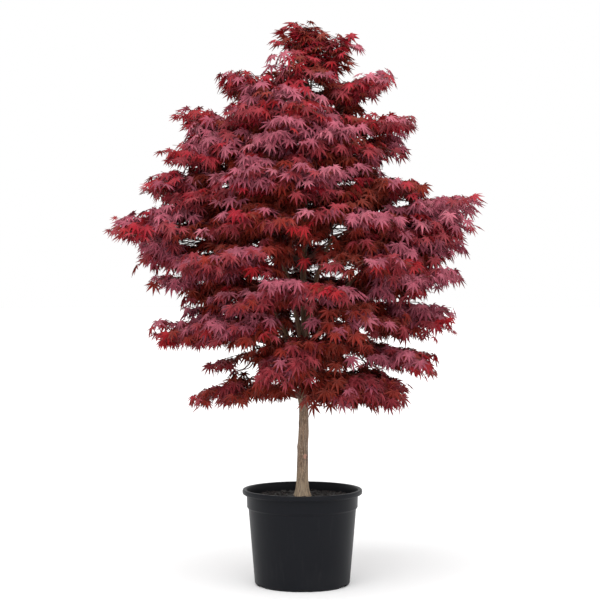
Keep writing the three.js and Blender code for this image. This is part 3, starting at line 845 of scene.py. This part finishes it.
def along_line(line, share):
    """The point at a share of a row of points."""
    place = share * (len(line) - 1)
    step = min(int(place), len(line) - 2)
    return mix(line[step], line[step + 1], place - step)


def grow_twigs(order, pad):
    """A pad's stems, side twigs and shoots, each as a row of points."""
    draw = random_from(pad["seed"])
    along, normal, centre = pad["along"], pad["normal"], pad["centre"]
    if "foot" not in pad:
        level = min(max(centre[2] - STEM_CLIMB * pad["reach"], STEM_FEET[0]), STEM_FEET[1])
        pad["foot"] = trunk_line(level - TRUNK_FOOT)
    grown = {"stem": [], "twig": [], "shoot": []}
    steep = pad["steep"]
    overlap = TOP_OVERLAP if steep else OVERLAP

    def grow(kind, foot, heading, length, steps):
        for shrink in TRIES:
            line = sagging(foot, heading, length * shrink, steps)
            if belongs(order, line[1:], overlap).all() and clear_of_limbs(line[1:]).all():
                grown[kind].append(line)
                return line
        return None

    def grow_shoots(line):
        length = np.linalg.norm(line[-1] - line[0])
        heading = unit(line[-1] - line[0])
        for step in range(1, int(length / SHOOT_SPACING) + 1):
            at = along_line(line, step * SHOOT_SPACING / length)
            for hand in (-1, 1):
                spread = (SHOOT_SPREAD[0] + jitter(draw, SHOOT_SPREAD[1])) * hand
                aim = turned_about(heading, normal, spread)
                aim = unit(aim + UP * (SHOOT_RISE[0] + jitter(draw, SHOOT_RISE[1])))
                grow("shoot", at, aim, mix(*SHOOT_LENGTH, next(draw)), SHOOT_STEPS)

    shift = jitter(draw, STEM_SHIFT)
    plain = [(lift + shift + jitter(draw, STEM_JITTER), reach) for lift, reach in PLAIN_STEMS]
    plain = [(lift, reach) for lift, reach in plain if abs(lift) < STEM_LIMIT]
    back, bushy, least = TIP_BACK[steep], BUSHY[steep], LEAST_ROOM[steep]
    inner = centre - along * pad["long"]
    for lift, reach in STEMS.get(pad["name"], plain):
        lift = normal * pad["thick"] * lift
        elbow = centre - along * pad["long"] * 0.5 + lift
        end = pad["outer"] - along * (back + 2 * pad["long"] * (1 - reach)) + lift
        stem = curve_points(pad["foot"], elbow, end, STEM_STEPS + 1)
        grown["stem"].append(stem)
        run = np.linalg.norm(np.diff(stem, axis=0), axis=1).sum()
        pairs = max(int(run * PAIRED_SHARE / (PAIR_SPACING * (0.5 if steep else 1.0))), 2)
        tilt = jitter(draw, SPRAY_TILT) * abs(pad["across"][0])
        for pair in range(pairs):
            share = mix(*PAIR_PLACES, pair / (pairs - 1))
            at = along_line(stem, share)
            ahead = along_line(stem, min(share + 0.05, 1.0)) - along_line(stem, share - 0.05)
            ahead = unit(ahead - normal * np.dot(ahead, normal))
            reached = 2 * np.dot(at - inner, along) / np.dot(end - inner, along) - 1
            room = pad["wide"] * (1 if steep else reach) * max(1 - max(reached, 0.0) ** 2, least)
            for hand in (-1, 1):
                spread = mix(TWIG_SPREAD[1], TWIG_SPREAD[0], max(reached, 0.0))
                spread = spread + jitter(draw, TWIG_SPREAD[2])
                heading = turned_about(ahead, normal, spread * hand)
                heading = heading + normal * (jitter(draw, bushy) + tilt * hand)
                heading = unit(heading + UP * (TWIG_RISE[0] + jitter(draw, TWIG_RISE[1])))
                length = room * mix(*TWIG_LENGTH, next(draw)) - LEAF_LENGTH * 0.5
                line = grow("twig", at, heading, max(length, LEAF_LENGTH * 0.4), TWIG_STEPS)
                if line is not None:
                    grow_shoots(line)
        grow_shoots(stem[-STEM_TIP_POINTS:])
    return grown


growths = [grow_twigs(order, pad) for order, pad in enumerate(pads)]


def tubes(lines, radii, sides):
    """Vertices and faces of many thin tubes with the same number of points, closed at both
    ends."""
    lines = np.asarray(lines, dtype=float)
    count, rings = lines.shape[:2]
    ahead = unit(np.gradient(lines, axis=1))
    side = unit(np.cross(ahead, UP) + np.array((1e-4, 0, 0)))
    top = np.cross(side, ahead)
    angle = np.arange(sides) / sides * 2 * math.pi
    ring = side[:, :, None] * np.cos(angle)[:, None] + top[:, :, None] * np.sin(angle)[:, None]
    vertices = lines[:, :, None] + ring * np.asarray(radii)[:, :, None, None]
    corner = np.arange(sides)
    beside = (corner + 1) % sides
    quads = []
    for step in range(rings - 1):
        low, high = step * sides, (step + 1) * sides
        quads.append(np.stack([low + corner, low + beside, high + beside, high + corner], axis=1))
    quads = np.concatenate(quads)
    caps = np.stack([corner[::-1], corner + (rings - 1) * sides])
    starts = np.arange(count)[:, None, None] * rings * sides
    return vertices.reshape(-1, 3), (quads + starts).reshape(-1, 4), (caps + starts).reshape(-1, sides)


def joined(vertices, faces, name, smooth=False):
    """One mesh from an array of vertices in millimetres and an array of faces."""
    mesh = bpy.data.meshes.new(name)
    mesh.from_pydata(np.asarray(vertices, dtype=np.float32) * 0.001, [], faces)
    mesh.validate()
    if smooth:
        mesh.shade_smooth()
    return mesh


def build_twigs():
    kinds = {"stem": (STEM_RADIUS, 6), "twig": (TWIG_RADIUS, 4), "shoot": (SHOOT_RADIUS, 4)}
    vertices, faces, start = [], [], 0
    for kind, ((thick, thin), sides) in kinds.items():
        lines = [line for grown in growths for line in grown[kind]]
        radii = np.linspace(thick, thin, len(lines[0]))[None].repeat(len(lines), axis=0)
        places, walls, caps = tubes(lines, radii, sides)
        vertices.append(places)
        faces += (walls + start).tolist() + (caps + start).tolist()
        start += len(places)
    return joined(np.concatenate(vertices), faces, "twigs", smooth=True)


def twig_finish():
    """Thin red-brown bark with a slight shine, darker in patches."""
    material, shade, surface = new_finish("young_bark")
    patches = shade.noise(object_place(shade), 55.0, 3.0)
    surface(
        Base_Color=shade.blend(patches.between(0.35, 0.65), (0.08, 0.022, 0.013), (0.18, 0.05, 0.03)),
        Roughness=0.5,
        Normal=shade.bump(patches, 0.0003, 0.4),
    )
    return material


foliage_nodes = [f"foliage_{pad['name']}" for pad in pads]
add_piece("twigs", build_twigs(), twig_finish(), foliage_nodes)

# The leaves: thin blades cut into seven slender lobes, folded a little along their ribs and
# drooping to their tips, in opposite pairs on thin red stalks. A spray of leaves has one tone,
# dealt out by place so that the crown's light and shade are painted into the leaves: crimson
# and scarlet at the tips, partly the young leaves' own red and partly painted backlight; dusty
# mauve and pale rose on top of the pads as painted sheen and highlight; wine red between; and
# maroon and dark in the crown as painted shade.
LOBES = [(0, 1.0), (34, 0.93), (68, 0.76), (108, 0.45)]
SINUS = 0.32
LOBE_WIDEST = 0.46
LOBE_HALF_WIDTH = 0.1
FOLD = 0.035
NODE_SPACING = 20.0
NODES_IN_SPRAY = 2
SPRAYS_IN_ROW = 20
LEAF_TRIES = 3
BARE_FOOT = 0.12
LEAF_SIZES = (0.78, 1.15)
# How the leaves' size changes from the lowest tier to the top one
LEAF_GROWTH = (1.16, 1.06)
LEAF_SHRINK = 0.85
LEAF_MIDDLE = 0.4
STALK_LENGTH = (12.0, 26.0)
STALK_RISE = (0.25, 0.3)
STALK_RADIUS = (0.65, 0.5)
LEAF_TURN = (56.0, 18.0)
LEAF_PITCH = (46.0, 22.0)
RIM_LIFT = 0.5
RIM = (0.7, 1.0)
LEAF_ROLL = 0.6
LEAF_DROOP = (0.04, 0.36)
# The least distance between leaves within the crown and at its rim, and how it grows to the top
LEAF_APART = (14.0, 22.0)
APART_RIM = (0.6, 0.95)
APART_TOP = 1.12
BARE_INSIDE = (0.0, 0.4)
BARE_BELOW = (1100.0, 1400.0)
LEAF_SKIN = (0.96, 0.96, 1.0)
LEAF_RAGGED = (0.17, 0.15, 0.95)
LEAF_OVERLAP = 0.22
# Where the crown is open right through, as seen from the front: each gap's place to the right of
# the pot's axis, its height, and half its width and height
SKY_GAPS = [
    (70, 1007, 24, 12), (-140, 1004, 18, 12), (-98, 954, 22, 16), (-28, 930, 12, 10),
    (35, 935, 20, 14), (80, 951, 18, 12), (141, 942, 20, 14), (182, 945, 16, 12),
    (163, 915, 14, 10), (-25, 788, 14, 16), (-63, 741, 16, 20), (-40, 727, 12, 18),
    (109, 779, 18, 14), (-122, 714, 18, 12), (-149, 696, 14, 12), (61, 732, 14, 12),
    (183, 747, 22, 16), (135, 677, 20, 14), (173, 664, 20, 16), (-341, 1009, 34, 16),
    (-300, 1020, 16, 12), (-300, 978, 14, 12), (-270, 978, 14, 12), (-374, 1060, 16, 12),
    (-341, 1069, 16, 12), (-368, 912, 24, 12), (-304, 892, 20, 12), (23, 1481, 26, 14),
    (55, 1462, 22, 14), (147, 1185, 18, 14), (110, 1180, 16, 14), (28, 1125, 20, 12),
    (154, 1265, 14, 12), (-227, 1179, 18, 12), (-235, 1238, 16, 12), (315, 1062, 16, 12),
    (-17, 1303, 14, 12),
    # A program measured these four in the photo, and the others were placed one by one
    (109, 1049, 32, 24), (-164, 640, 34, 20), (291, 1130, 25, 12), (240, 1448, 16, 14),
]
GAP_MARGIN = 5.0
EYE_AWAY = 4800.0
EYE_HEIGHT = 914.0
TONE_CONTRAST = 1.5
TONES = {
    # crimson, partly the young leaves' own red and partly painted backlight, and scarlet, painted
    # backlight, go to sprays at the rim and side tips
    "crimson": (0.34, 0.015, 0.028),
    "scarlet": (0.31, 0.01, 0.015),
    # painted highlight and painted sheen: this pale rose and the dusty mauve go to sprays lit from
    # above
    "highlight_rose": (0.44, 0.12, 0.16),
    "sheen_mauve": (0.35, 0.078, 0.115),
    # wine is the leaves' own dark red; maroon and dark, given to sprays deep in the crown, are painted
    # shade
    "wine": (0.26, 0.028, 0.038),
    "maroon": (0.23, 0.02, 0.013),
    "dark": (0.19, 0.02, 0.01),
}


def leaf_pattern():
    """One leaf of length 1, its root at the origin and its middle lobe along X: its places on
    the flat, how high each stands by the fold, the places of the tips, and the faces."""
    fan = [(-turn, length) for turn, length in reversed(LOBES[1:])] + LOBES
    places, lift, faces, tips = [(0.0, 0.0)], [0.0], [], []

    def add(radius, turn, up):
        places.append((radius * math.cos(turn), radius * math.sin(turn)))
        lift.append(up)
        return len(places) - 1

    sinuses = [0]
    for (turn, length), (next_turn, next_length) in zip(fan, fan[1:]):
        depth = SINUS * (length + next_length) / 2
        sinuses.append(add(depth, math.radians((turn + next_turn) / 2), FOLD * 0.6))
    sinuses.append(0)
    for (turn, length), before, after in zip(fan, sinuses, sinuses[1:]):
        turn = math.radians(turn)
        half = LOBE_HALF_WIDTH * (0.45 + 0.55 * length)
        middle = LOBE_WIDEST * length
        lean = math.atan2(half, middle)
        tip = add(length, turn, 0.0)
        low = add(math.hypot(middle, half), turn - lean, FOLD)
        high = add(math.hypot(middle, half), turn + lean, FOLD)
        tips.append(tip)
        faces += [(0, before, low)] if before else []
        faces += [(0, low, tip), (0, tip, high)]
        faces += [(0, high, after)] if after else []
    return np.array(places), np.array(lift), tips, np.array(faces)


leaf_places, leaf_lift, leaf_tips, leaf_faces = leaf_pattern()


def leaf_shapes(roots, axes, lengths, droops):
    """The vertices of many leaves, from their roots, axes, lengths and droops."""
    out = (leaf_places**2).sum(axis=1)
    flat = np.broadcast_to(leaf_places, (len(roots), *leaf_places.shape))
    height = leaf_lift[None] - droops[:, None] * out[None]
    local = np.concatenate([flat, height[..., None]], axis=-1) * lengths[:, None, None]
    return roots[:, None] + np.einsum("nvk,nkc->nvc", local, axes)


def leaf_axes(headings, pitches, rolls):
    """Each leaf's forward, side and upward axes: it heads one way, hangs down and rolls."""
    level = unit(headings * np.array((1, 1, 0)) + np.array((1e-6, 0, 0)))
    forward = level * np.cos(pitches)[:, None] - UP * np.sin(pitches)[:, None]
    side = unit(np.cross(UP, forward))
    facing = np.cross(forward, side)
    rolled = side * np.cos(rolls)[:, None] + facing * np.sin(rolls)[:, None]
    return np.stack([forward, rolled, np.cross(forward, rolled)], axis=1)


def crown_edge(points):
    """How near each point lies to the crown's outside: 0 at the trunk and about 1 at its skin."""
    heights = [height for _, height, _ in TIERS]
    reaches = [max(reach for _, reach in places.values()) for _, _, places in TIERS]
    return np.hypot(points[:, 0], points[:, 1]) / np.interp(points[:, 2], heights, reaches)


def open_to_sky(points):
    """Whether each point lies in a gap, seen from the eye's distance and height."""
    nearer = EYE_AWAY / (EYE_AWAY + points[:, 1])
    x, z, half_wide, half_high = np.array(SKY_GAPS, dtype=float).T
    across = (points[:, 0] * nearer)[:, None] - x
    up = (EYE_HEIGHT + (points[:, 2] - EYE_HEIGHT) * nearer)[:, None] - z
    away = (across / (half_wide + GAP_MARGIN)) ** 2 + (up / (half_high + GAP_MARGIN)) ** 2
    return (away < 1).any(axis=1)


def grow_leaves(order, pad, grown):
    """A pad's leaves, in pairs along its twigs and shoots and at their tips: where their stalks
    start, their roots, axes, lengths and droops, and the spray that each belongs to."""
    draw = random_from(pad["seed"] + 500)
    found = []
    high = pad["level"] / (len(TIERS) - 1)
    lines = [stem[-STEM_TIP_POINTS:] for stem in grown["stem"]] + grown["twig"] + grown["shoot"]
    for row, line in enumerate(lines):
        span = np.linalg.norm(line[-1] - line[0])
        heading = unit(line[-1] - line[-2])
        for node in range(max(int(span / NODE_SPACING), 1) + 1):
            share = 1 - node * NODE_SPACING / span
            if share < BARE_FOOT:
                break
            at = along_line(line, share)
            spray = row * SPRAYS_IN_ROW + node // NODES_IN_SPRAY
            for hand in (-1, 1):
                turn = (LEAF_TURN[0] * (1.0 if node else 0.5) + jitter(draw, LEAF_TURN[1])) * hand
                stalk = mix(*STALK_LENGTH, next(draw))
                size = LEAF_LENGTH * mix(*LEAF_SIZES, next(draw)) * mix(*LEAF_GROWTH, high)
                pitch = LEAF_PITCH[0] - pad["slope"] * 0.5 + jitter(draw, LEAF_PITCH[1])
                droop = mix(*LEAF_DROOP, next(draw))
                rise = STALK_RISE[0] + jitter(draw, STALK_RISE[1])
                roll = jitter(draw, LEAF_ROLL)
                stance = (turn, stalk, rise, size, math.radians(pitch), roll, droop, spray)
                found.append((*at, *heading, *stance))
    found = np.array(found)
    feet, headings = found[:, 0:3], found[:, 3:6]
    turns, stalks, rises, sizes, pitches, rolls, droops, sprays = found[:, 6:].T
    aims = turned_about(headings, pad["normal"], turns)
    pitches = pitches - RIM_LIFT * min(high * 2, 1) * smooth_step(crown_edge(feet), *RIM)
    axes = leaf_axes(aims, pitches, rolls)
    roots = feet + unit(aims + UP * rises[:, None]) * stalks[:, None]
    overlap = TOP_OVERLAP if pad["steep"] else LEAF_OVERLAP
    rooted = belongs(order, roots, overlap) & clear_of_limbs(roots)
    kept = np.zeros(len(found), dtype=bool)
    ragged = np.array([next(draw) for _ in kept])[:, None, None]
    skins = np.array(LEAF_SKIN) + np.array(LEAF_RAGGED) * ragged**2
    for _ in range(LEAF_TRIES):
        tested = np.flatnonzero(rooted & ~kept)
        shapes = leaf_shapes(roots[tested], axes[tested], sizes[tested], droops[tested])
        tips = shapes[:, leaf_tips]
        fits = inside(order, tips, skins[tested]) & clear_of_limbs(tips)
        kept[tested[fits.all(axis=1)]] = True
        sizes[~kept] *= LEAF_SHRINK
    bare = 1 - smooth_step(crown_edge(roots), *BARE_INSIDE)
    bare = bare * (1 - smooth_step(roots[:, 2], *BARE_BELOW))
    kept &= np.array([next(draw) for _ in kept]) > bare
    middles = roots + axes[:, 0] * sizes[:, None] * LEAF_MIDDLE
    kept &= ~open_to_sky(middles)
    apart = mix(*LEAF_APART, smooth_step(crown_edge(middles), *APART_RIM)) * mix(1, APART_TOP, high)
    free, chosen = kept.copy(), []
    for i in np.flatnonzero(kept):
        if free[i]:
            chosen.append(i)
            free &= ((middles - middles[i]) ** 2).sum(axis=1) > apart[i] ** 2
    rows = {"feet": feet, "roots": roots, "axes": axes, "lengths": sizes, "droops": droops,
            "sprays": sprays.astype(int)}
    return {name: row[chosen] for name, row in rows.items()}


pad_leaves = [grow_leaves(order, pad, grown) for order, (pad, grown) in enumerate(zip(pads, growths))]


def deal_tones(pad, leaves):
    """A tone for each leaf, dealt out by spray: how far within the crown the spray lies, how much
    light reaches it from above, and whether it stands at the rim or at a side's tip. This paints
    light and shade into the leaves: darker tones within the crown are painted shade, mauve and
    rose where light falls from above are painted sheen and highlight, and crimson and scarlet at
    the rim and tips are partly the young leaves' own red and partly painted backlight."""
    draw = random_from(pad["seed"] + 900)
    roots = leaves["roots"]
    edge = crown_edge(roots)
    up = ((roots - pad["centre"]) @ pad["normal"]) / pad["thick"]
    patch = noise_over(roots, (0.012, 0.012, 0.02), 5.0) * 2
    high = pad["level"] / (len(TIERS) - 1)
    tones = np.zeros(len(edge), dtype=int)
    for spray in np.unique(leaves["sprays"]):
        mine = leaves["sprays"] == spray
        chance = next(draw)
        out, top, drift = edge[mine].mean(), up[mine].mean(), patch[mine].mean()
        within = 1 - smooth_step(out + 0.1 * drift, 0.42, 0.72)
        lit = smooth_step(top + 0.6 * drift, -0.6, 0.2) * (1 - within)
        lit *= 0.1 + 0.9 * smooth_step(high, 0.02, 0.22)
        rim = max(smooth_step(out - 0.15 * drift, 0.72, 1.0), 0.85 * high**2)
        x, y = roots[mine, :2].mean(axis=0)
        tip = smooth_step(out + 0.1 * drift, 0.8, 1.0) * x * x / (x * x + y * y)
        odds = {
            # partly painted backlight: crimson and scarlet go to sprays at the crown's rim and at the
            # side tips
            "crimson": rim * (0.06 + 0.5 * high) + tip * (0.4 + 0.5 * high),
            "scarlet": rim * (0.26 + 0.12 * high) + 0.3 * tip + 0.03,
            # painted highlight and sheen: rose and mauve go to sprays that light reaches from above
            "highlight_rose": lit * (0.12 + 0.85 * high**2) * (1 - 0.4 * tip),
            "sheen_mauve": lit * (0.8 + 0.35 * high) * (1 - 0.5 * tip),
            # painted shade: wine goes more to sprays that less light reaches, and maroon and dark to
            # sprays deep in the crown
            "wine": (0.3 + 0.25 * (1 - lit)) * (1 - 0.6 * within) * (1 - 0.35 * high),
            "maroon": (0.22 + 0.5 * within) * (1 - 0.9 * high),
            "dark": within * (1.2 - 0.8 * high),
        }
        weights = np.array([odds[tone] for tone in TONES]) ** TONE_CONTRAST
        limits = np.cumsum(weights / weights.sum())
        tones[mine] = min(int(np.searchsorted(limits, chance)), len(TONES) - 1)
    return tones


leaf_tones = [deal_tones(pad, leaves) for pad, leaves in zip(pads, pad_leaves)]


def build_stalks():
    feet = np.concatenate([leaves["feet"] for leaves in pad_leaves])
    roots = np.concatenate([leaves["roots"] for leaves in pad_leaves])
    radii = np.broadcast_to(np.array(STALK_RADIUS), (len(feet), 2))
    vertices, walls, caps = tubes(np.stack([feet, roots], axis=1), radii, 3)
    return joined(vertices, walls.tolist() + caps.tolist(), "leaf_stalks")


def stalk_finish():
    """Smooth red leaf stalks with a waxy shine."""
    material, shade, surface = new_finish("red_stalk")
    patches = shade.noise(object_place(shade), 80.0, 2.0)
    surface(
        Base_Color=shade.blend(patches.between(0.3, 0.7), (0.13, 0.01, 0.014), (0.26, 0.03, 0.03)),
        Roughness=0.42,
    )
    return material


def leaf_finish(name, colour):
    """A thin, slightly waxy blade with a faint bloom, a little lighter or darker from leaf to
    leaf, with fine veins."""
    material, shade, surface = new_finish(name)
    place = object_place(shade)
    mottle = shade.noise(place, 34.0, 2.0)
    veins = shade.noise(place, 420.0, 2.0)
    darker = tuple(part * 0.66 for part in colour)
    lighter = tuple(min(part * 1.3, 1.0) for part in colour)
    surface(
        Base_Color=shade.blend(mottle.between(0.3, 0.7), darker, lighter),
        Roughness=0.42 + veins * 0.16,
        Specular_IOR_Level=0.24,
        Normal=shade.bump(veins, 0.0004, 0.3),
    )
    return material


def build_leaves(tone):
    keys = ("roots", "axes", "lengths", "droops")
    picked = [
        leaf_shapes(*(leaves[key][tones == tone] for key in keys))
        for leaves, tones in zip(pad_leaves, leaf_tones)
    ]
    shapes = np.concatenate(picked)
    starts = np.arange(len(shapes))[:, None, None] * shapes.shape[1]
    faces = (leaf_faces[None] + starts).reshape(-1, 3)
    return joined(shapes.reshape(-1, 3), faces, "leaves")


add_piece("leaf_stalks", build_stalks(), stalk_finish())
for tone, (name, colour) in enumerate(TONES.items()):
    add_piece(f"leaves_{name}", build_leaves(tone), leaf_finish(f"{name}_leaf", colour))

# The studio: a plain pale floor under even white light, with a large soft light above the front
# and a weaker one from the right, and a long lens straight in front of the tree.
FLOOR_RADIUS = 40
CAMERA_PLACE = (-0.007, -4.8, 0.914)
CAMERA_PITCH = 0.87
CAMERA_LENS = 97.3
floor_shape = bmesh.new()
bmesh.ops.create_circle(floor_shape, cap_ends=True, radius=FLOOR_RADIUS, segments=96)
floor = bpy.data.objects.new("floor", mesh_from(floor_shape, "floor"))
bpy.context.scene.collection.objects.link(floor)
floor_material, _, floor_surface = new_finish("pale_floor")
floor_surface(Base_Color=(0.86, 0.86, 0.86), Roughness=0.9)
floor.data.materials.append(floor_material)

world = bpy.data.worlds.new("white_studio")
world.use_nodes = True
world.node_tree.nodes["Background"].inputs["Color"].default_value = (1, 1, 1, 1)
world.node_tree.nodes["Background"].inputs["Strength"].default_value = 1.0
bpy.context.scene.world = world


def add_sun(name, bearing, rise, softness, strength):
    lamp = bpy.data.lights.new(name, "SUN")
    lamp.angle = math.radians(softness)
    lamp.energy = strength
    light = bpy.data.objects.new(name, lamp)
    bpy.context.scene.collection.objects.link(light)
    light.rotation_euler = (math.radians(90 - rise), 0, math.radians(bearing + 90))


add_sun("key_light", 250, 58, 50, 1.6)
add_sun("fill_light", 320, 35, 70, 0.5)

lens = bpy.data.cameras.new("long_lens")
lens.lens = CAMERA_LENS
lens.sensor_width = 36
camera = bpy.data.objects.new("camera", lens)
bpy.context.scene.collection.objects.link(camera)
camera.location = CAMERA_PLACE
camera.rotation_euler = (math.radians(90 - CAMERA_PITCH), 0, 0)
bpy.context.scene.camera = camera
bpy.context.scene.view_settings.view_transform = "Standard"

bpy.context.view_layer.update()
